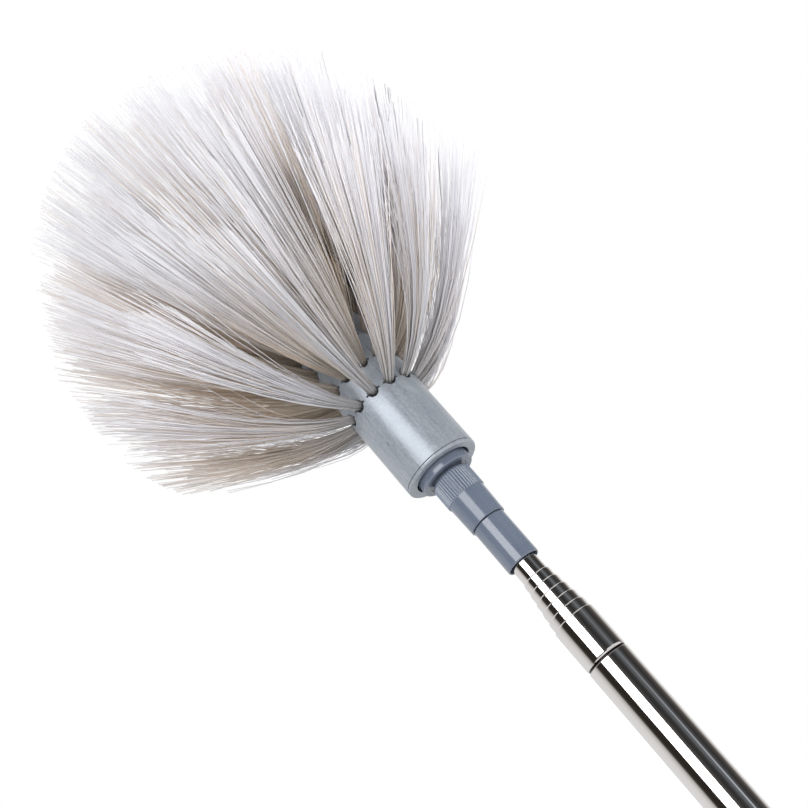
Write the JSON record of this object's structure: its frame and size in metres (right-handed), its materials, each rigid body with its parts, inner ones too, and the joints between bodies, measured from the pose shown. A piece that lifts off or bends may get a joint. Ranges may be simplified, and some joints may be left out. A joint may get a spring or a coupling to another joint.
{
  "type": "telescopic duster",
  "caption": "Long-reach duster: a ball of splayed plastic bristles on a drilled hub, screwed by a ribbed collar to a polished telescopic pole with a grip and a hanging hole.",
  "frame": {"origin": "centre of the flat end face of the handle's end cap", "axes": "+Z along the pole from the handle to the bristles, +Y through the hanging hole"},
  "size_m": [0.249, 0.249, 0.7724],
  "materials": {
    "polished_steel": "mirror polished",
    "hub_plastic": "satin",
    "neck_plastic": "gloss",
    "grip_plastic": "matte",
    "bristle": "translucent filament",
    "bush_plastic": "moulded",
    "spring_brass": "rolled strip",
    "clip_steel": "spring steel"
  },
  "bodies": {
    "handle": {"end_cap": "neck_plastic", "handle_grip": "grip_plastic", "tube_1": "polished_steel"},
    "section_2": {"tube_2": "polished_steel", "bush_2": "bush_plastic", "friction_spring_2": "spring_brass"},
    "section_3": {"tube_3": "polished_steel", "bush_3": "bush_plastic", "friction_spring_3": "spring_brass"},
    "section_4": {"tube_4": "polished_steel", "bush_4": "bush_plastic", "friction_spring_4": "spring_brass"},
    "section_5": {"tube_5": "polished_steel", "bush_5": "bush_plastic", "friction_spring_5": "spring_brass"},
    "section_6": {"tube_6": "polished_steel", "bush_6": "bush_plastic", "friction_spring_6": "spring_brass"},
    "section_7": {"tube_7": "polished_steel", "bush_7": "bush_plastic", "friction_spring_7": "spring_brass", "pole_socket": "neck_plastic", "collar_clip": "clip_steel"},
    "collar": {"screw_collar": "neck_plastic"},
    "head": {"hub_base": "hub_plastic", "hub_shell": "hub_plastic", "bristle_row_1": "bristle", "bristle_row_2": "bristle", "bristle_row_3": "bristle", "bristle_crown": "bristle"}
  },
  "joints": [
    {"name": "section_2_slide", "type": "slide", "parent": "handle", "child": "section_2", "axis": [0, 0, 1], "range_m": [0, 0.336]},
    {"name": "section_3_slide", "type": "slide", "parent": "section_2", "child": "section_3", "axis": [0, 0, 1], "range_m": [0, 0.336]},
    {"name": "section_4_slide", "type": "slide", "parent": "section_3", "child": "section_4", "axis": [0, 0, 1], "range_m": [0, 0.336]},
    {"name": "section_5_slide", "type": "slide", "parent": "section_4", "child": "section_5", "axis": [0, 0, 1], "range_m": [0, 0.336]},
    {"name": "section_6_slide", "type": "slide", "parent": "section_5", "child": "section_6", "axis": [0, 0, 1], "range_m": [0, 0.336]},
    {"name": "section_7_slide", "type": "slide", "parent": "section_6", "child": "section_7", "axis": [0, 0, 1], "range_m": [0, 0.336]},
    {"name": "collar_turn", "type": "hinge", "parent": "section_7", "child": "collar", "pos_m": [0, 0, 0.5], "axis": [0, 0, -1], "range_deg": [0, 720]},
    {"name": "head_lift", "type": "slide", "parent": "section_7", "child": "head", "axis": [0, 0, 1], "range_m": [0, 0.008]}
  ],
  "couplings": [
    {"joint": "collar_turn", "follows": "head_lift", "rad_per_m": 1570.8}
  ]
}
